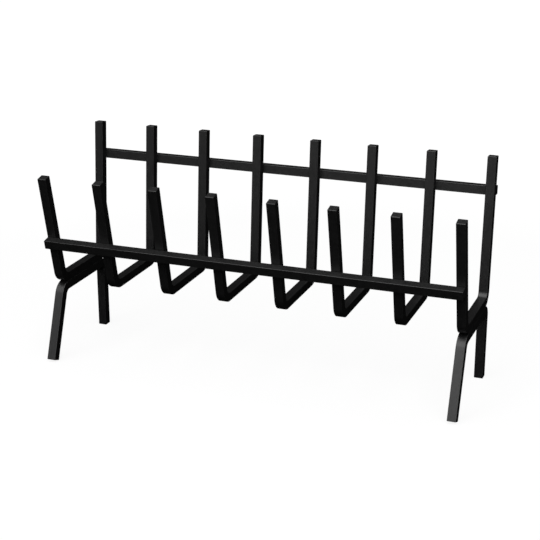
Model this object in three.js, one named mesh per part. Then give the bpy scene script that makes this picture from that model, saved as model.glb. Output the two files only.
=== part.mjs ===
// An upright log grate for an open fireplace, welded from solid square steel bar.
// Eight U-shaped tines hold the logs, two crossbars tie the tines together, and two bent leg hoops
// under the outermost tines carry the whole grate.
//
// Millimetres. +X runs along the crossbars, -Y faces the room, +Z is up.
// The origin is on the floor, under the middle of the grate.
import * as THREE from 'three';

// Bar stock
const BAR = 15.875; // side of the square bar (5/8 inch)
const EDGE_RADIUS = 0.8; // rounding along the bar's long edges
const END_CHAMFER = 0.6; // broken edge around each sawn end
const FIT_GAP = 0.3; // air left between two pieces that lie against each other

// Tines
const TINE_COUNT = 8;
const TINE_PITCH = 104.9; // centre to centre
const MIDDLE_PITCH = 107.7; // centre to centre of the two middle tines
const BASE_DEPTH = 157.4; // front corner to rear corner of the tine's centreline
const FRONT_TINE_BEND_RADIUS = 19; // of the centreline
const REAR_TINE_BEND_RADIUS = 17; // of the centreline
const FRONT_ARM_LENGTH = 203.2; // corner to tip, along the arm
const FRONT_ARM_LEAN = 12.4; // degrees forward of upright
const REAR_ARM_LENGTH = 251.7; // corner to tip, along the arm
const REAR_ARM_LEAN = 4.1; // degrees back from upright

// Crossbars
const FRONT_CROSSBAR_HEIGHT = 81.1; // corner to crossbar middle, along the front arm
const REAR_CROSSBAR_HEIGHT = 189.9; // corner to crossbar middle, along the rear arm
const CROSSBAR_END_INSET = 0.8; // short of the outer tine's outer face, at each end

// Leg hoops
const GROUND_CLEARANCE = 120.6; // floor to the underside of the hoop's top run
const FRONT_LEG_SPLAY = 20; // degrees forward of upright
const FRONT_LEG_BEND_RADIUS = 19; // of the centreline
const REAR_LEG_BEND_RADIUS = 13.5; // of the centreline
const FRONT_LEG_INSET = 1.1; // leg corner behind the tine's front corner
const REAR_LEG_OUTSET = 0.1; // leg corner behind the tine's rear corner

// Weld beads
const FILLET_LEG = 5.5; // reach of a fillet bead along each face
const FILLET_CROWN = 0.5; // how far the bead's face stands proud of flat
const FILLET_LENGTH = 9; // along the crossbar
const FILLET_END_ROUND = 0.8; // rounding of the bead's ends
const GROOVE_BEAD_RADIUS = 2.5; // bead in the groove between a tine's and a leg's rear bend
const GROOVE_BEAD_LENGTH = 11; // across the bar

// Facets
const BEND_STEPS = 8; // chords per bend
const EDGE_STEPS = 2; // chords per rounded edge
const BEAD_SIDES = 10;
const CROWN_STEPS = 4; // chords across a fillet bead's face

const HALF_BAR = BAR / 2;
const LEG_Z = GROUND_CLEARANCE + HALF_BAR;
const BASE_Z = LEG_Z + BAR + FIT_GAP;
const FRONT_CORNER_Y = -BASE_DEPTH / 2;
const REAR_CORNER_Y = BASE_DEPTH / 2;
const FRONT_LEAN = THREE.MathUtils.degToRad(FRONT_ARM_LEAN);
const REAR_LEAN = THREE.MathUtils.degToRad(REAR_ARM_LEAN);
const SPLAY = THREE.MathUtils.degToRad(FRONT_LEG_SPLAY);

const blackPaint = { color: 0x2e2e2f, roughness: 0.5, metalness: 0.3 };
const paintedWeld = { color: 0x2a2a2b, roughness: 0.42, metalness: 0.3 };

// The outline plane of every bent bar is the grate's side view: outline x is Y, outline y is Z,
// and the extrusion runs along X.
const SIDE_VIEW = new THREE.Matrix4().makeBasis(
  new THREE.Vector3(0, 1, 0),
  new THREE.Vector3(0, 0, 1),
  new THREE.Vector3(1, 0, 0),
);

// Middle X of each tine, from left to right.
function tineX(index) {
  const fromMiddle = index - (TINE_COUNT - 1) / 2;
  const middleShift = (MIDDLE_PITCH - TINE_PITCH) / 2;
  return fromMiddle * TINE_PITCH + Math.sign(fromMiddle) * middleShift;
}

// One round bend of a centreline that runs from before, by way of corner, to after.
function bendAt(before, corner, after, radius) {
  const inward = corner.clone().sub(before).normalize();
  const outward = after.clone().sub(corner).normalize();
  const turn = Math.atan2(inward.cross(outward), inward.dot(outward));
  const setback = radius * Math.tan(Math.abs(turn) / 2);
  const start = corner.clone().addScaledVector(inward, -setback);
  const side = new THREE.Vector2(-inward.y, inward.x).multiplyScalar(Math.sign(turn));
  const centre = start.clone().addScaledVector(side, radius);
  return { start, centre, turn, heading: inward };
}

// Points of a bent bar's centreline, each with the direction it runs in.
// The second point and the last but one lie an end chamfer away from the sawn ends.
function centreline(corners, radii) {
  const origin = new THREE.Vector2(0, 0);
  const first = corners[0];
  const last = corners[corners.length - 1];
  const firstHeading = corners[1].clone().sub(first).normalize();
  const lastHeading = last.clone().sub(corners[corners.length - 2]).normalize();
  const stations = [
    { point: first, heading: firstHeading, inset: END_CHAMFER },
    { point: first.clone().addScaledVector(firstHeading, END_CHAMFER), heading: firstHeading, inset: 0 },
  ];
  for (let i = 1; i < corners.length - 1; i += 1) {
    const bend = bendAt(corners[i - 1], corners[i], corners[i + 1], radii[i - 1]);
    for (let step = 0; step <= BEND_STEPS; step += 1) {
      const angle = (bend.turn * step) / BEND_STEPS;
      stations.push({
        point: bend.start.clone().rotateAround(bend.centre, angle),
        heading: bend.heading.clone().rotateAround(origin, angle),
        inset: 0,
      });
    }
  }
  const lastInner = last.clone().addScaledVector(lastHeading, -END_CHAMFER);
  stations.push({ point: lastInner, heading: lastHeading, inset: 0 });
  stations.push({ point: last, heading: lastHeading, inset: END_CHAMFER });
  return stations;
}

// A square bar bent in the side view, centred on X = 0, with rounded long edges and sawn ends.
function bentBar(corners, radii) {
  const left = [];
  const right = [];
  for (const { point, heading, inset } of centreline(corners, radii)) {
    const reach = new THREE.Vector2(-heading.y, heading.x).multiplyScalar(HALF_BAR - inset);
    left.push(point.clone().add(reach));
    right.push(point.clone().sub(reach));
  }
  const outline = new THREE.Shape([...left, ...right.reverse()]);
  const geometry = new THREE.ExtrudeGeometry(outline, {
    depth: BAR - 2 * EDGE_RADIUS,
    steps: 1,
    bevelEnabled: true,
    bevelThickness: EDGE_RADIUS,
    bevelSize: EDGE_RADIUS,
    bevelOffset: -EDGE_RADIUS,
    bevelSegments: EDGE_STEPS,
  });
  geometry.translate(0, 0, EDGE_RADIUS - HALF_BAR);
  return geometry.applyMatrix4(SIDE_VIEW);
}

// A straight square bar along X, centred on the origin.
function straightBar(length) {
  const flat = HALF_BAR - EDGE_RADIUS;
  const section = new THREE.Shape();
  section.absarc(flat, flat, EDGE_RADIUS, 0, Math.PI / 2);
  section.absarc(-flat, flat, EDGE_RADIUS, Math.PI / 2, Math.PI);
  section.absarc(-flat, -flat, EDGE_RADIUS, Math.PI, 1.5 * Math.PI);
  section.absarc(flat, -flat, EDGE_RADIUS, 1.5 * Math.PI, 2 * Math.PI);
  const geometry = new THREE.ExtrudeGeometry(section, {
    depth: length - 2 * END_CHAMFER,
    steps: 1,
    curveSegments: EDGE_STEPS,
    bevelEnabled: true,
    bevelThickness: END_CHAMFER,
    bevelSize: END_CHAMFER,
    bevelOffset: -END_CHAMFER,
    bevelSegments: 1,
  });
  geometry.translate(0, 0, END_CHAMFER - length / 2);
  return geometry.applyMatrix4(SIDE_VIEW);
}

// A fillet bead along X in an inside corner at Y = 0, Z = 0.
// ySide and zSide are the directions, +1 or -1, in which the two faces run away from the corner.
function filletBead(ySide, zSide) {
  const near = FIT_GAP;
  const far = near + FILLET_LEG;
  const crownPull = (near + far) / 2 + 2 * FILLET_CROWN;
  const section = new THREE.Shape();
  section.moveTo(near * ySide, near * zSide);
  section.lineTo(far * ySide, near * zSide);
  section.quadraticCurveTo(crownPull * ySide, crownPull * zSide, near * ySide, far * zSide);
  const geometry = new THREE.ExtrudeGeometry(section, {
    depth: FILLET_LENGTH - 2 * FILLET_END_ROUND,
    steps: 1,
    curveSegments: CROWN_STEPS,
    bevelEnabled: true,
    bevelThickness: FILLET_END_ROUND,
    bevelSize: FILLET_END_ROUND,
    bevelOffset: -FILLET_END_ROUND,
    bevelSegments: 1,
  });
  geometry.translate(0, 0, FILLET_END_ROUND - FILLET_LENGTH / 2);
  return geometry.applyMatrix4(SIDE_VIEW);
}

// Where a round bead rests in the groove behind two bends that lie one above the other.
function grooveSeat(upper, lower) {
  const upperReach = upper.outerRadius + FIT_GAP + GROOVE_BEAD_RADIUS;
  const lowerReach = lower.outerRadius + FIT_GAP + GROOVE_BEAD_RADIUS;
  const across = lower.centre.clone().sub(upper.centre);
  const span = across.length();
  const along = (upperReach ** 2 - lowerReach ** 2 + span ** 2) / (2 * span);
  const aside = Math.sqrt(upperReach ** 2 - along ** 2);
  const direction = across.divideScalar(span);
  const sideways = new THREE.Vector2(-direction.y, direction.x);
  sideways.multiplyScalar(Math.sign(sideways.x));
  return upper.centre.clone().addScaledVector(direction, along).addScaledVector(sideways, aside);
}

function piece(name, geometry, look) {
  const mesh = new THREE.Mesh(geometry, new THREE.MeshStandardMaterial(look));
  mesh.name = name;
  return mesh;
}

// Tine centreline corners in the side view, from the front tip to the rear tip.
const tineCorners = [
  new THREE.Vector2(
    FRONT_CORNER_Y - FRONT_ARM_LENGTH * Math.sin(FRONT_LEAN),
    BASE_Z + FRONT_ARM_LENGTH * Math.cos(FRONT_LEAN),
  ),
  new THREE.Vector2(FRONT_CORNER_Y, BASE_Z),
  new THREE.Vector2(REAR_CORNER_Y, BASE_Z),
  new THREE.Vector2(
    REAR_CORNER_Y + REAR_ARM_LENGTH * Math.sin(REAR_LEAN),
    BASE_Z + REAR_ARM_LENGTH * Math.cos(REAR_LEAN),
  ),
];

// Leg centreline corners, from the front foot to the rear foot.
// The front foot is sawn square to the bar, so it stands on the back edge of its end,
// which is the lower edge of the chamfer there.
const footRise = Math.max(
  (HALF_BAR - END_CHAMFER) * Math.sin(SPLAY),
  HALF_BAR * Math.sin(SPLAY) - END_CHAMFER * Math.cos(SPLAY),
);
const frontLegCorner = new THREE.Vector2(FRONT_CORNER_Y + FRONT_LEG_INSET, LEG_Z);
const rearLegCorner = new THREE.Vector2(REAR_CORNER_Y + REAR_LEG_OUTSET, LEG_Z);
const legCorners = [
  new THREE.Vector2(frontLegCorner.x - (LEG_Z - footRise) * Math.tan(SPLAY), footRise),
  frontLegCorner,
  rearLegCorner,
  new THREE.Vector2(rearLegCorner.x, 0),
];

const tineRadii = [FRONT_TINE_BEND_RADIUS, REAR_TINE_BEND_RADIUS];
const legRadii = [FRONT_LEG_BEND_RADIUS, REAR_LEG_BEND_RADIUS];

const assembly = new THREE.Group();

// Tines
for (let i = 0; i < TINE_COUNT; i += 1) {
  const tine = piece(`tine_${i + 1}`, bentBar(tineCorners, tineRadii), blackPaint);
  tine.position.x = tineX(i);
  assembly.add(tine);
}

// Each arm group has its origin at the tine's corner and its Z along the arm.
const frontArms = new THREE.Group();
frontArms.position.set(0, FRONT_CORNER_Y, BASE_Z);
frontArms.rotation.x = FRONT_LEAN;
const rearArms = new THREE.Group();
rearArms.position.set(0, REAR_CORNER_Y, BASE_Z);
rearArms.rotation.x = -REAR_LEAN;
assembly.add(frontArms, rearArms);

// Crossbars, lying against the outside of the arms.
const outerFaceX = tineX(TINE_COUNT - 1) + HALF_BAR;
const crossbarLength = 2 * (outerFaceX - CROSSBAR_END_INSET);
const frontCrossbar = piece('front_crossbar', straightBar(crossbarLength), blackPaint);
frontCrossbar.position.set(0, -(BAR + FIT_GAP), FRONT_CROSSBAR_HEIGHT);
frontArms.add(frontCrossbar);
const rearCrossbar = piece('rear_crossbar', straightBar(crossbarLength), blackPaint);
rearCrossbar.position.set(0, BAR + FIT_GAP, REAR_CROSSBAR_HEIGHT);
rearArms.add(rearCrossbar);

// Beads that weld each tine to the crossbars: under the front one, above and below the rear one.
for (let i = 0; i < TINE_COUNT; i += 1) {
  const frontBead = piece(`weld_front_${i + 1}`, filletBead(-1, -1), paintedWeld);
  frontBead.position.set(tineX(i), -HALF_BAR, FRONT_CROSSBAR_HEIGHT - HALF_BAR);
  frontArms.add(frontBead);
  const topBead = piece(`weld_rear_top_${i + 1}`, filletBead(1, 1), paintedWeld);
  topBead.position.set(tineX(i), HALF_BAR, REAR_CROSSBAR_HEIGHT + HALF_BAR);
  const bottomBead = piece(`weld_rear_bottom_${i + 1}`, filletBead(1, -1), paintedWeld);
  bottomBead.position.set(tineX(i), HALF_BAR, REAR_CROSSBAR_HEIGHT - HALF_BAR);
  rearArms.add(topBead, bottomBead);
}

// The last bend of a bar with the given corners.
function rearBend([, front, rear, end], radius) {
  return { centre: bendAt(front, rear, end, radius).centre, outerRadius: radius + HALF_BAR };
}

// Leg hoops under the outermost tines, each with a bead in the groove behind it.
const seat = grooveSeat(
  rearBend(tineCorners, REAR_TINE_BEND_RADIUS),
  rearBend(legCorners, REAR_LEG_BEND_RADIUS),
);
for (const [side, x] of [['left', tineX(0)], ['right', tineX(TINE_COUNT - 1)]]) {
  const leg = piece(`${side}_leg`, bentBar(legCorners, legRadii), blackPaint);
  leg.position.x = x;
  const roll = new THREE.CylinderGeometry(
    GROOVE_BEAD_RADIUS,
    GROOVE_BEAD_RADIUS,
    GROOVE_BEAD_LENGTH,
    BEAD_SIDES,
  );
  roll.rotateZ(Math.PI / 2);
  const bead = piece(`weld_${side}_leg`, roll, paintedWeld);
  bead.position.set(x, seat.x, seat.y);
  assembly.add(leg, bead);
}

// The origin lies midway between the foremost and the rearmost point.
const extent = new THREE.Box3().setFromObject(assembly, true);
assembly.position.y = -(extent.min.y + extent.max.y) / 2;

const grate = new THREE.Group();
grate.add(assembly);

export default grate;
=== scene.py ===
"""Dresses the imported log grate: bent and sawn square bar with rippled weld beads, satin black
paint, a pale floor and a soft studio light. Metres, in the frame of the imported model."""

import cmath
import math

import bmesh
import bpy
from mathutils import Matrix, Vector, noise


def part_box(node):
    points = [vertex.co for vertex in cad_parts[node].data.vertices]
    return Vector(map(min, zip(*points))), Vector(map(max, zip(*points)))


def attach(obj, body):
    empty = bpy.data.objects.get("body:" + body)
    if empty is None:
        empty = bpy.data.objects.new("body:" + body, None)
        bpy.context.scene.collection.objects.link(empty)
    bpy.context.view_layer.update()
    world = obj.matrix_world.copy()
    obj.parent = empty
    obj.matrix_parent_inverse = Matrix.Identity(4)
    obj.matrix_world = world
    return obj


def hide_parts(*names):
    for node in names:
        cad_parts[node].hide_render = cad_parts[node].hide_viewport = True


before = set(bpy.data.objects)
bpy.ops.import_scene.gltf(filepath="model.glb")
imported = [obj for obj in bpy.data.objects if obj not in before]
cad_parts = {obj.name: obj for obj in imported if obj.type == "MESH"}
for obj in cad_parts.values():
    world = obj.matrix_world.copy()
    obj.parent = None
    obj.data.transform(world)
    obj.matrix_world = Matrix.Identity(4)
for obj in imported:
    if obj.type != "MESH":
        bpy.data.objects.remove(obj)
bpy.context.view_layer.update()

# ---------------------------------------------------------------------------------------------
# Sizes: the same driving dimensions as the part's source, in metres and radians
BAR = 0.015875  # side of the square bar
HALF_BAR = BAR / 2
EDGE_RADIUS = 0.0008  # rounding along the bar's long edges
END_CHAMFER = 0.0006  # broken edge around each sawn end
FIT_GAP = 0.0003  # air between two bars that lie against each other

TINE_COUNT = 8
BASE_DEPTH = 0.1574  # from a tine's front corner to its rear corner, on the bar's middle line
FRONT_TINE_BEND_RADIUS = 0.019
REAR_TINE_BEND_RADIUS = 0.017
FRONT_ARM_LENGTH = 0.2032  # from the corner to the tip
FRONT_ARM_LEAN = math.radians(12.4)  # forward
REAR_ARM_LENGTH = 0.2517
REAR_ARM_LEAN = math.radians(4.1)  # back

FRONT_CROSSBAR_HEIGHT = 0.0811  # from the corner to the crossbar's middle, along the arm
REAR_CROSSBAR_HEIGHT = 0.1899

GROUND_CLEARANCE = 0.1206  # from the floor to the underside of the leg hoops
FRONT_LEG_SPLAY = math.radians(20)
FRONT_LEG_BEND_RADIUS = 0.019
REAR_LEG_BEND_RADIUS = 0.0135
FRONT_LEG_INSET = 0.0011  # how far a leg's front corner lies behind the tine's
REAR_LEG_OUTSET = 0.0001  # how far its rear corner lies behind the tine's

FILLET_LEG = 0.0055  # reach of a fillet bead over each of the two faces that it joins
FILLET_LENGTH = 0.009
GROOVE_BEAD_RADIUS = 0.0025
GROOVE_BEAD_LENGTH = 0.011

# Places that follow from them. Side-view points are complex numbers, y + z i.
LEG_Z = GROUND_CLEARANCE + HALF_BAR
BASE_Z = LEG_Z + BAR + FIT_GAP
REAR_LEG_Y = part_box("left_leg")[1].y - HALF_BAR
REAR_CORNER = complex(REAR_LEG_Y - REAR_LEG_OUTSET, BASE_Z)
FRONT_CORNER = REAR_CORNER - BASE_DEPTH
FRONT_ARM_HEADING = cmath.rect(1, math.pi / 2 + FRONT_ARM_LEAN)
REAR_ARM_HEADING = cmath.rect(1, math.pi / 2 - REAR_ARM_LEAN)


def middle_x(node):
    """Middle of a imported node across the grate."""
    low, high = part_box(node)
    return (low.x + high.x) / 2


def in_space(point, x=0.0):
    """A side-view point or direction as a vector, at a given place across the grate."""
    return Vector((x, point.real, point.imag))


def unit(step):
    """Heading of a step in the side view."""
    return step / abs(step)


def bend_at(before, corner, after, radius):
    """Start and centre of the bend at a corner, and the angle that it turns through."""
    incoming = unit(corner - before)
    turn = cmath.phase(unit(after - corner) / incoming)
    start = corner - incoming * radius * math.tan(abs(turn) / 2)
    return start, start + incoming * 1j * math.copysign(radius, turn), turn


# ---------------------------------------------------------------------------------------------
# Bars
BEND_STEPS = 18
STRAIGHT_STEP = 0.007  # spacing of the rings along a straight run
EDGE_STEPS = 4  # chords per rounded edge
FLAT_ROWS = (0.0005, 0.0025)  # points this far in from each rounded edge keep the flats flat
EDGE_WEAR = 0.35  # wear on both sides of a rounded edge, against 1 along its middle
BEND_THINNING = 0.012  # how much the outside of a bend draws in
RELIEF_DEPTH = 0.00009  # deepest rolling and hammer marks, always into the bar
RELIEF_SIZE = 0.019  # spacing of those marks
RELIEF_SHIFT = (3.7, 1.3, 7.1)  # step through their noise from one bar to the next
BAR_SHARP_ANGLE = math.radians(32)
END_SLOT = 1  # place of the sawn ends' material among a bar's materials


def bar_section():
    """Points around the square section, each with its outward direction and its wear. Points and
    directions are complex numbers, side + across i."""
    flat = HALF_BAR - EDGE_RADIUS
    inner = [flat - row for row in FLAT_ROWS]
    reaches = inner + [0.0] + [-reach for reach in reversed(inner)]
    points = []
    for quarter in range(4):
        turn = cmath.rect(1, quarter * math.pi / 2)
        for step in range(EDGE_STEPS + 1):
            outward = cmath.rect(1, step * math.pi / 2 / EDGE_STEPS)
            point = complex(flat, flat) + outward * EDGE_RADIUS
            wear = EDGE_WEAR + (1 - EDGE_WEAR) * math.sin(step * math.pi / EDGE_STEPS)
            points.append((point * turn, outward * turn, wear))
        for reach in reaches:
            points.append((complex(reach, HALF_BAR) * turn, 1j * turn, 0.0))
    return points


class Station:
    """One ring of a bar: its middle, its two section axes, its distance along the bar, how far
    the bend draws it in (below 0 where the bar bends the other way), and how far the broken edge
    of a sawn end narrows it."""

    def __init__(self, point, side, across, length, bend=0.0, inset=0.0):
        self.point = point
        self.side = side
        self.across = across
        self.length = length
        self.bend = bend
        self.inset = inset


def spread(length):
    """Shares from 0 to 1 that lie evenly along a straight run, without the first."""
    count = max(1, round(length / STRAIGHT_STEP))
    return [(k + 1) / count for k in range(count)]


def bent_stations(corners, radii, x):
    """Rings along a bar that is bent in the side view, at a given place across the grate."""
    rings = []
    run = 0.0

    across = Vector((1, 0, 0))

    def add(point, heading, bend=0.0, inset=0.0):
        side = in_space(heading * 1j)
        rings.append(Station(in_space(point, x), side, across, run, bend, inset))

    def add_straight(start, end, heading):
        nonlocal run
        shares = spread(abs(end - start))
        for share in shares:
            run += abs(end - start) / len(shares)
            add(start + (end - start) * share, heading)

    heading = unit(corners[1] - corners[0])
    add(corners[0], heading, inset=END_CHAMFER)
    here = corners[0] + heading * END_CHAMFER
    run += END_CHAMFER
    add(here, heading)
    for k, radius in enumerate(radii):
        start, centre, turn = bend_at(*corners[k : k + 3], radius)
        add_straight(here, start, heading)
        for step in range(1, BEND_STEPS + 1):
            swing = cmath.rect(1, turn * step / BEND_STEPS)
            run += radius * abs(turn) / BEND_STEPS
            draw = math.sin(math.pi * step / BEND_STEPS) ** 2
            add(centre + (start - centre) * swing, heading * swing, math.copysign(draw, turn))
        here = centre + (start - centre) * cmath.rect(1, turn)
        heading = unit(corners[k + 2] - corners[k + 1])
    add_straight(here, corners[-1] - heading * END_CHAMFER, heading)
    run += END_CHAMFER
    add(corners[-1], heading, inset=END_CHAMFER)
    return rings


def straight_stations(node, middle, lean):
    """Rings along a crossbar, which lies in X and is turned with the arms that it crosses."""
    low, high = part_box(node)
    side = in_space(lean)
    across = in_space(lean * 1j)

    def ring(x, inset=0.0):
        return Station(in_space(middle, x), side, across, x - low.x, inset=inset)

    start = low.x + END_CHAMFER
    end = high.x - END_CHAMFER
    rings = [ring(low.x, END_CHAMFER), ring(start)]
    rings += [ring(start + (end - start) * share) for share in spread(end - start)]
    return rings + [ring(high.x, END_CHAMFER)]


def skin_place(ring, point, outward, wear, shift):
    """Where a point of the section lies on a ring: drawn in on the outside of a bend and around a
    sawn end, and pressed in by the marks of rolling, which are fainter along the edges."""
    if point.real * ring.bend < 0:
        point *= 1 - BEND_THINNING * abs(ring.bend) * (abs(point.real) / HALF_BAR)
    if ring.inset:
        point *= (HALF_BAR - ring.inset) / HALF_BAR
    place = ring.point + ring.side * point.real + ring.across * point.imag
    marks = noise.noise(place / RELIEF_SIZE + shift)
    depth = RELIEF_DEPTH * (0.5 + 0.5 * marks) * (1 - wear)
    return place - (ring.side * outward.real + ring.across * outward.imag) * depth


def finished_mesh(bm, name, sharp_angle):
    """The mesh of a closed form, with its faces turned outward and its sharp edges marked."""
    bmesh.ops.recalc_face_normals(bm, faces=bm.faces)
    mesh = bpy.data.meshes.new(name)
    bm.to_mesh(mesh)
    bm.free()
    mesh.set_sharp_from_angle(angle=sharp_angle)
    return mesh


def bar_mesh(name, rings, number):
    """A closed mesh of a bar, with its lengthwise coordinates, its worn edges and its sawn ends.
    The bar's number sets its marks apart from those of the other bars."""
    section = bar_section()
    count = len(section)
    shift = Vector([number * step for step in RELIEF_SHIFT])
    bm = bmesh.new()
    edge_layer = bm.verts.layers.float.new("edge")
    bar_layer = bm.loops.layers.uv.new("bar")
    loops = []
    for ring in rings:
        loop = []
        for point, outward, wear in section:
            vertex = bm.verts.new(skin_place(ring, point, outward, wear, shift))
            vertex[edge_layer] = 1.0 if ring.inset else wear
            loop.append(vertex)
        loops.append(loop)
    around = [0.0]
    for (a, _, _), (b, _, _) in zip(section, section[1:] + section[:1]):
        around.append(around[-1] + abs(b - a))
    for first, second, low, high in zip(loops, loops[1:], rings, rings[1:]):
        for k in range(count):
            after = (k + 1) % count
            face = bm.faces.new((first[k], first[after], second[after], second[k]))
            face.smooth = True
            lengths = (low.length, low.length, high.length, high.length)
            widths = (around[k], around[k + 1], around[k + 1], around[k])
            for corner, length, width in zip(face.loops, lengths, widths):
                corner[bar_layer].uv = (length + number, width)
    for loop, flip in ((loops[0], True), (loops[-1], False)):
        face = bm.faces.new(reversed(loop) if flip else loop)
        face.material_index = END_SLOT
        for corner in face.loops:
            point = section[loop.index(corner.vert)][0]
            corner[bar_layer].uv = (point.real + number, point.imag)
    return finished_mesh(bm, name, BAR_SHARP_ANGLE)


# ---------------------------------------------------------------------------------------------
# Weld beads
RIPPLE_PITCH = 0.0011
RIPPLE_HEIGHT = 0.06  # share of the bead's reach
RIPPLE_SWEEP = 0.55  # how far each ripple bows forward in the middle, in pitches
PHASE_STEPS = (2.3, 5.1)  # steps through the ripples' noise, from tine to tine and row to row
PHASE_PLANE = 0.4
GROOVE_PHASES = {"weld_left_leg": 0.0, "weld_right_leg": 0.4}  # in pitches
BEAD_RINGS = 40
BEAD_SINK = 0.00025  # how far a bead runs into the bars that it joins
BEAD_SHARP_ANGLE = math.radians(50)
TAPER_POWER = 5  # a higher one keeps the bead full for longer and rounds its ends more tightly
TAPER_FLOOR = 0.05  # square of the least size, at the very end
CROWN_STEPS = 10
CROWN_HEIGHT = 0.16  # how far a fillet bead bulges past a flat face, as a share of its reach
FILLET_CORE = 0.45  # share of a fillet bead's size that doesn't taper
GROOVE_BEAD_SIDES = 14


def ripple(along, share, phase):
    """Height of the bead's face, as a share of its reach, with one crescent for each ripple."""
    bow = RIPPLE_SWEEP * (1 - (2 * share - 1) ** 2)
    wave = math.sin(math.pi * (along / RIPPLE_PITCH - bow + phase))
    return 1 - RIPPLE_HEIGHT * wave * wave


def end_taper(share):
    """The bead swells from a rounded start to a rounded stop."""
    return max(TAPER_FLOOR, 1 - abs(2 * share - 1) ** TAPER_POWER) ** 0.5


def bead_mesh(name, rows):
    """A closed mesh through rows of points, each row a closed ring."""
    bm = bmesh.new()
    rings = [[bm.verts.new(p) for p in row] for row in rows]
    count = len(rings[0])
    for first, second in zip(rings, rings[1:]):
        for k in range(count):
            after = (k + 1) % count
            face = bm.faces.new((first[k], first[after], second[after], second[k]))
            face.smooth = True
    bm.faces.new(reversed(rings[0]))
    bm.faces.new(rings[-1])
    return finished_mesh(bm, name, BEAD_SHARP_ANGLE)


def fillet_rows(corner, x, first, second, phase):
    """Rings of a fillet bead along X in the corner between two faces that run away from it."""
    rows = []
    reach = FILLET_LEG + FIT_GAP
    for k in range(BEAD_RINGS + 1):
        share = k / BEAD_RINGS
        along = (share - 0.5) * FILLET_LENGTH
        size = reach * (FILLET_CORE + (1 - FILLET_CORE) * end_taper(share))
        row = [corner - (first + second) * BEAD_SINK]
        for step in range(CROWN_STEPS + 1):
            t = step / CROWN_STEPS
            swing = t * math.pi / 2
            flat = 1 / (math.cos(swing) + math.sin(swing))
            crown = flat + CROWN_HEIGHT * math.sin(2 * swing)
            radius = size * crown * ripple(along, t, phase)
            toward_face = first * math.cos(swing) + second * math.sin(swing)
            sink = (first * t + second * (1 - t)) * BEAD_SINK
            row.append(corner + toward_face * radius - sink)
        rows.append([in_space(point, x + along) for point in row])
    return rows


def groove_rows(seat, x, phase):
    """Rings of a round bead along X, sunk a little into the bends on both sides of its groove."""
    rows = []
    for k in range(BEAD_RINGS + 1):
        share = k / BEAD_RINGS
        along = (share - 0.5) * GROOVE_BEAD_LENGTH
        radius = (GROOVE_BEAD_RADIUS + FIT_GAP) * end_taper(share)
        row = []
        for side in range(GROOVE_BEAD_SIDES):
            swell = ripple(along, side / GROOVE_BEAD_SIDES, phase)
            angle = 2 * math.pi * side / GROOVE_BEAD_SIDES
            row.append(in_space(seat + cmath.rect(radius * swell, angle), x + along))
        rows.append(row)
    return rows


# ---------------------------------------------------------------------------------------------
# Materials
NOISE_SPAN = (0.3, 0.7)  # where most of a noise lies
WHITE = (1.0, 1.0, 1.0, 1.0)
BLACK = (0.0, 0.0, 0.0, 1.0)

# The paint's levels of grey, all with a trace of blue.
PAINT_DARK = 0.0018
PAINT_LIGHT = 0.0036
PAINT_WORN = 0.016
DUST = 0.012
BLUE_TINT = 1.02  # blue over red and green
PAINT_INDEX = 1.8  # refractive index of the binder and the graphite in it


class Nodes:
    """The emptied node tree of a material or a world, with one short call for each node."""

    def __init__(self, owner):
        owner.use_nodes = True
        self.owner = owner
        self.tree = owner.node_tree
        self.tree.nodes.clear()

    def add(self, kind, settings=None, **sockets):
        """A node with its settings and its sockets, whose names have _ for each space."""
        node = self.tree.nodes.new(kind)
        for key, value in (settings or {}).items():
            setattr(node, key, value)
        for key, value in sockets.items():
            self.feed(node.inputs[key.replace("_", " ")], value)
        return node

    def feed(self, socket, value):
        """Links another node's output to a socket, or sets a plain value on it."""
        if isinstance(value, bpy.types.NodeSocket):
            self.tree.links.new(value, socket)
        else:
            socket.default_value = value

    def math(self, operation, a, b=0.0):
        node = self.add("ShaderNodeMath", {"operation": operation})
        self.feed(node.inputs[0], a)
        self.feed(node.inputs[1], b)
        return node.outputs[0]

    def remap(self, value, low=0.0, high=1.0, span=NOISE_SPAN):
        """Stretches the span of a value to low to high, and holds it there outside the span."""
        ends = {"From_Min": span[0], "From_Max": span[1], "To_Min": low, "To_Max": high}
        return self.add("ShaderNodeMapRange", Value=value, **ends).outputs[0]

    def blend(self, factor, a, b):
        """Mixes two colours. Sockets 6 and 7 and output 2 are the mix node's colour ones."""
        node = self.add("ShaderNodeMix", {"data_type": "RGBA"}, Factor=factor)
        self.feed(node.inputs[6], a)
        self.feed(node.inputs[7], b)
        return node.outputs[2]

    def noise(self, vector, size, detail, roughness):
        sockets = {"Scale": 1 / size, "Detail": detail, "Roughness": roughness}
        return self.add("ShaderNodeTexNoise", Vector=vector, **sockets).outputs[0]

    def bump(self, height, depth, strength, under=None):
        """A normal bent by a height, on top of the normal under it."""
        node = self.add("ShaderNodeBump", Height=height, Distance=depth, Strength=strength)
        if under is not None:
            self.feed(node.inputs["Normal"], under)
        return node.outputs[0]

    def scaled(self, vector, scale):
        return self.add("ShaderNodeMapping", Vector=vector, Scale=scale).outputs[0]

    def object_place(self):
        return self.add("ShaderNodeTexCoord").outputs["Object"]

    def bar_place(self):
        """Distance along the bar and around it, or the place on a sawn end."""
        return self.add("ShaderNodeUVMap", {"uv_map": "bar"}).outputs[0]

    def output(self, kind, shader):
        self.feed(self.add(kind).inputs["Surface"], shader.outputs[0])

    def paint(self, **sockets):
        """Closes a material with a coat of paint, and gives the material."""
        coat = self.add("ShaderNodeBsdfPrincipled", IOR=PAINT_INDEX, **sockets)
        self.output("ShaderNodeOutputMaterial", coat)
        return self.owner


def grey(level):
    return (level, level, level * BLUE_TINT, 1.0)


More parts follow.
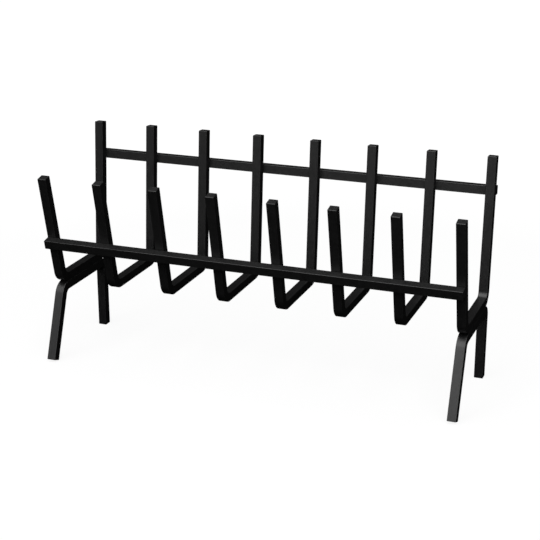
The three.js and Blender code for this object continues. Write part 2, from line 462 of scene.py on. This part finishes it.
# Noises: size in metres, detail and roughness. Bumps: depth in metres and strength.
CLOUD = (0.021, 3.0, 0.5)
MOTTLE = (0.0042, 3.0, 0.6)
MOTTLE_BUMP = (0.00012, 0.5)
PEEL = (0.0011, 2.0, 0.5)
PEEL_BUMP = (0.00003, 0.7)
ROLLING_LINES = (0.018, 2.0, 0.5)
ROLLING_BUMP = (0.00006, 0.6)
ROLLING_STRETCH = (1.0, 22.0, 1.0)  # packs the lines closely across the bar
RUBBING = (0.009, 3.0, 0.5)
RUBBED_SHARE = (0.15, 0.8)  # how much of an edge's paint is rubbed off, least and most
DUST_SHARE = 0.25  # the most dust that lies on the paint
PAINT_ROUGHNESS = (0.435, 0.465)
MOTTLE_ROUGHNESS = 0.03  # what the mottling adds or takes away


def black_paint():
    """Satin heat-resistant paint over rolled bar: faint mottling, lengthwise rolling lines, fine
    orange peel, and edges where the paint lies thin."""
    n = Nodes(bpy.data.materials.new("black_paint"))
    place = n.object_place()
    cloud = n.noise(place, *CLOUD)
    mottle = n.noise(place, *MOTTLE)
    lines = n.noise(n.scaled(n.bar_place(), ROLLING_STRETCH), *ROLLING_LINES)
    peel = n.noise(place, *PEEL)
    colour = n.blend(n.remap(mottle), grey(PAINT_DARK), grey(PAINT_LIGHT))
    dust = n.math("MULTIPLY", n.remap(cloud), n.remap(peel, 0.0, DUST_SHARE))
    colour = n.blend(dust, colour, grey(DUST))
    edge = n.add("ShaderNodeAttribute", {"attribute_name": "edge"}).outputs["Fac"]
    rubbed = n.math("MULTIPLY", edge, n.remap(n.noise(place, *RUBBING), *RUBBED_SHARE))
    colour = n.blend(rubbed, colour, grey(PAINT_WORN))
    unevenness = n.remap(mottle, -MOTTLE_ROUGHNESS, MOTTLE_ROUGHNESS)
    roughness = n.math("ADD", unevenness, n.remap(cloud, *PAINT_ROUGHNESS))
    relief = n.bump(lines, *ROLLING_BUMP)
    relief = n.bump(mottle, *MOTTLE_BUMP, relief)
    relief = n.bump(peel, *PEEL_BUMP, relief)
    return n.paint(Base_Color=colour, Roughness=roughness, Normal=relief)


SAW_PITCH = 0.0013
SAW_WANDER = (0.006, 2.0, 0.5)
SAW_LEVEL = 0.5  # the saw marks' height, and how far it swings to either side
SAW_SWING = 0.2
SAW_BUMP = (0.00008, 0.8)
END_MOTTLE = (0.003, 3.0, 0.6)
END_MOTTLE_BUMP = (0.0001, 0.5)
END_ROUGHNESS = (0.43, 0.51)


def sawn_end():
    """The same paint over the marks of a saw cut."""
    n = Nodes(bpy.data.materials.new("sawn_end"))
    place = n.object_place()
    wander = n.noise(place, *SAW_WANDER)
    along = n.add("ShaderNodeSeparateXYZ", Vector=n.bar_place()).outputs[0]
    turns = n.math("MULTIPLY", n.math("DIVIDE", along, SAW_PITCH), 2 * math.pi)
    wave = n.math("SINE", n.math("ADD", turns, wander))
    marks = n.math("ADD", n.math("MULTIPLY", wave, SAW_SWING), SAW_LEVEL)
    mottle = n.noise(place, *END_MOTTLE)
    colour = n.blend(n.remap(mottle), grey(PAINT_DARK), grey(DUST))
    relief = n.bump(marks, *SAW_BUMP)
    relief = n.bump(mottle, *END_MOTTLE_BUMP, relief)
    roughness = n.remap(mottle, *END_ROUGHNESS)
    return n.paint(Base_Color=colour, Roughness=roughness, Normal=relief)


WELD_CLOUD = (0.0035, 3.0, 0.5)
WELD_GRAIN = (0.0007, 2.0, 0.5)
WELD_GRAIN_BUMP = (0.00004, 0.8)
WELD_ROUGHNESS = (0.34, 0.46)


def painted_weld():
    """Paint over weld metal, which is smoother and glossier than the bar around it."""
    n = Nodes(bpy.data.materials.new("painted_weld"))
    place = n.object_place()
    cloud = n.noise(place, *WELD_CLOUD)
    colour = n.blend(n.remap(cloud), grey(PAINT_DARK), grey(DUST))
    relief = n.bump(n.noise(place, *WELD_GRAIN), *WELD_GRAIN_BUMP)
    return n.paint(Base_Color=colour, Roughness=n.remap(cloud, *WELD_ROUGHNESS), Normal=relief)


# ---------------------------------------------------------------------------------------------
# The pieces
TINE_RADII = (FRONT_TINE_BEND_RADIUS, REAR_TINE_BEND_RADIUS)
LEG_RADII = (FRONT_LEG_BEND_RADIUS, REAR_LEG_BEND_RADIUS)


def tine_corners():
    """A tine's middle line in the side view, from its front tip to its rear tip."""
    return [
        FRONT_CORNER + FRONT_ARM_HEADING * FRONT_ARM_LENGTH,
        FRONT_CORNER,
        REAR_CORNER,
        REAR_CORNER + REAR_ARM_HEADING * REAR_ARM_LENGTH,
    ]


def leg_corners():
    """A leg hoop's middle line, from its front foot to its rear foot. The front foot stands on
    the back edge of its square-sawn end."""
    front = complex(FRONT_CORNER.real + FRONT_LEG_INSET, LEG_Z)
    foot_rise = (HALF_BAR - END_CHAMFER) * math.sin(FRONT_LEG_SPLAY)
    reach = (LEG_Z - foot_rise) * math.tan(FRONT_LEG_SPLAY)
    return [
        complex(front.real - reach, foot_rise),
        front,
        complex(REAR_LEG_Y, LEG_Z),
        complex(REAR_LEG_Y, 0),
    ]


def groove_seat():
    """Where a round bead touches both the tine's rear bend and the leg's below it."""
    _, upper, _ = bend_at(*tine_corners()[1:], REAR_TINE_BEND_RADIUS)
    _, lower, _ = bend_at(*leg_corners()[1:], REAR_LEG_BEND_RADIUS)
    upper_reach = REAR_TINE_BEND_RADIUS + HALF_BAR + FIT_GAP + GROOVE_BEAD_RADIUS
    lower_reach = REAR_LEG_BEND_RADIUS + HALF_BAR + FIT_GAP + GROOVE_BEAD_RADIUS
    span = abs(lower - upper)
    along = (upper_reach**2 - lower_reach**2 + span**2) / (2 * span)
    aside = math.sqrt(upper_reach**2 - along**2)
    downward = (lower - upper) / span
    backward = downward * 1j
    backward *= math.copysign(1, backward.real)
    return upper + downward * along + backward * aside


def add_object(name, data):
    """A new object in the scene."""
    thing = bpy.data.objects.new(name, data)
    bpy.context.scene.collection.objects.link(thing)
    return thing


def place_piece(mesh, node, slot, *materials):
    """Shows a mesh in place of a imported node, riding on the grate's one body."""
    for material in materials:
        mesh.materials.append(material)
    piece = add_object(mesh.name, mesh)
    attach(piece, "root")
    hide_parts(node)


def make_bars(paint, end):
    """The tines, the leg hoops and the crossbars. Their order here numbers them."""
    rings = {}
    for i in range(TINE_COUNT):
        node = f"tine_{i + 1}"
        rings[node] = bent_stations(tine_corners(), TINE_RADII, middle_x(node))
    for node in ("left_leg", "right_leg"):
        rings[node] = bent_stations(leg_corners(), LEG_RADII, middle_x(node))
    front = FRONT_CORNER + FRONT_ARM_HEADING * complex(FRONT_CROSSBAR_HEIGHT, BAR + FIT_GAP)
    rear = REAR_CORNER + REAR_ARM_HEADING * complex(REAR_CROSSBAR_HEIGHT, -BAR - FIT_GAP)
    rings["front_crossbar"] = straight_stations("front_crossbar", front, FRONT_ARM_HEADING)
    rings["rear_crossbar"] = straight_stations("rear_crossbar", rear, REAR_ARM_HEADING)
    for number, (node, stations) in enumerate(rings.items(), start=1):
        mesh = bar_mesh(f"{node}_bar", stations, number)
        place_piece(mesh, node, "black_paint", paint, end)


def make_beads(weld):
    """A fillet bead in each corner between a tine and a crossbar, and one behind each leg."""
    front_out = FRONT_ARM_HEADING * 1j
    rear_out = REAR_ARM_HEADING * -1j
    kinds = (
        ("weld_front", FRONT_CORNER, FRONT_ARM_HEADING, front_out, FRONT_CROSSBAR_HEIGHT, -1),
        ("weld_rear_top", REAR_CORNER, REAR_ARM_HEADING, rear_out, REAR_CROSSBAR_HEIGHT, 1),
        ("weld_rear_bottom", REAR_CORNER, REAR_ARM_HEADING, rear_out, REAR_CROSSBAR_HEIGHT, -1),
    )
    for k, (kind, corner, arm, out, height, end) in enumerate(kinds):
        seat = corner + arm * (height + end * HALF_BAR) + out * HALF_BAR
        for i in range(TINE_COUNT):
            node = f"{kind}_{i + 1}"
            draw = Vector((i * PHASE_STEPS[0], k * PHASE_STEPS[1], PHASE_PLANE))
            rows = fillet_rows(seat, middle_x(node), out, arm * end, noise.noise(draw))
            place_piece(bead_mesh(f"{node}_bead", rows), node, "painted_weld", weld)
    for node, phase in GROOVE_PHASES.items():
        rows = groove_rows(groove_seat(), middle_x(node), phase)
        place_piece(bead_mesh(f"{node}_bead", rows), node, "painted_weld", weld)


# ---------------------------------------------------------------------------------------------
# Studio
PICTURE_SIDE = 540  # in pixels
SENSOR_MM = 36
FOCAL_PIXELS = 1368.08
CAMERA_AZIMUTH = math.radians(20.6454)
CAMERA_ELEVATION = math.radians(19.0853)
CAMERA_DISTANCE = 2.40394
CAMERA_TARGET = Vector((0.0044, 0.00694, 0.1796))

KEY_AZIMUTH = math.radians(5)
KEY_ELEVATION = math.radians(58)
KEY_DISTANCE = 5.0
KEY_HALF_WIDTH = math.radians(36)
KEY_HALF_HEIGHT = math.radians(45.5)
KEY_RADIANCE = 1.9  # at which a colour that faces the lamp renders about as it is written

FLOOR_SIDE = 30.0
FLOOR_COLOUR = (0.16, 0.16, 0.16, 1.0)
FLOOR_LIFT = 0.885  # the part of the floor's white that doesn't depend on the lamp
FLOOR_FADE = (0.9, 2.2)  # between these distances from the grate the floor fades to plain white
GLOSSY_SHARE = 0.004  # how much of the white background the satin paint reflects
FILL_SHARE = 0.005  # how much of it lights the grate


def toward(azimuth, elevation):
    """Unit vector from the grate towards a camera or a lamp. Azimuth 0 is in front of it."""
    level = math.cos(elevation)
    return Vector((math.sin(azimuth) * level, -math.cos(azimuth) * level, math.sin(elevation)))


def add_camera():
    data = bpy.data.cameras.new("camera")
    data.sensor_width = SENSOR_MM
    data.lens = FOCAL_PIXELS * SENSOR_MM / PICTURE_SIDE
    camera = add_object("camera", data)
    camera.location = CAMERA_TARGET + toward(CAMERA_AZIMUTH, CAMERA_ELEVATION) * CAMERA_DISTANCE
    camera.rotation_euler = (math.pi / 2 - CAMERA_ELEVATION, 0, CAMERA_AZIMUTH)
    bpy.context.scene.camera = camera


def add_key():
    """One tall softbox in front of the grate, leaning over it."""
    data = bpy.data.lights.new("key", "AREA")
    data.shape = "RECTANGLE"
    data.size = 2 * KEY_DISTANCE * math.tan(KEY_HALF_WIDTH)
    data.size_y = 2 * KEY_DISTANCE * math.tan(KEY_HALF_HEIGHT)
    data.energy = KEY_RADIANCE * math.pi * data.size * data.size_y
    lamp = add_object("key", data)
    direction = toward(KEY_AZIMUTH, KEY_ELEVATION)
    lamp.location = CAMERA_TARGET + direction * KEY_DISTANCE
    lamp.rotation_euler = direction.to_track_quat("Z", "Y").to_euler()


def seen_share(n):
    """1 where the camera or a clear surface looks straight at the background, and a little of it
    where the paint reflects it or is lit by it, as in a dark studio."""
    path = n.add("ShaderNodeLightPath")
    glossy = n.math("MULTIPLY", path.outputs["Is Glossy Ray"], GLOSSY_SHARE)
    direct = n.math("MAXIMUM", path.outputs["Is Camera Ray"], path.outputs["Is Transmission Ray"])
    fill = n.math("MULTIPLY", path.outputs["Is Diffuse Ray"], FILL_SHARE)
    return n.math("MAXIMUM", n.math("MAXIMUM", direct, glossy), fill)


def floor_material():
    """A pale floor that takes the grate's shadow, lifted to the background's white."""
    n = Nodes(bpy.data.materials.new("floor"))
    seen = seen_share(n)
    pale = n.add("ShaderNodeBsdfDiffuse", Color=n.blend(seen, BLACK, FLOOR_COLOUR))
    place = n.object_place()
    away = n.add("ShaderNodeVectorMath", {"operation": "LENGTH"}, Vector=place).outputs["Value"]
    white = n.remap(away, FLOOR_LIFT, 1.0, FLOOR_FADE)
    lift = n.add("ShaderNodeEmission", Color=WHITE, Strength=n.math("MULTIPLY", seen, white))
    both = n.add("ShaderNodeAddShader")
    n.feed(both.inputs[0], pale.outputs[0])
    n.feed(both.inputs[1], lift.outputs[0])
    n.output("ShaderNodeOutputMaterial", both)
    return n.owner


def add_floor():
    half = FLOOR_SIDE / 2
    corners = [(-half, -half, 0), (half, -half, 0), (half, half, 0), (-half, half, 0)]
    mesh = bpy.data.meshes.new("floor")
    mesh.from_pydata(corners, [], [(0, 1, 2, 3)])
    mesh.materials.append(floor_material())
    add_object("floor", mesh)


def add_world():
    world = bpy.data.worlds.new("studio")
    bpy.context.scene.world = world
    n = Nodes(world)
    background = n.add("ShaderNodeBackground", Color=WHITE, Strength=seen_share(n))
    n.output("ShaderNodeOutputWorld", background)


# ---------------------------------------------------------------------------------------------
# The scene
add_camera()
make_bars(black_paint(), sawn_end())
make_beads(painted_weld())
add_floor()
add_world()
add_key()
bpy.context.scene.view_settings.view_transform = "Standard"
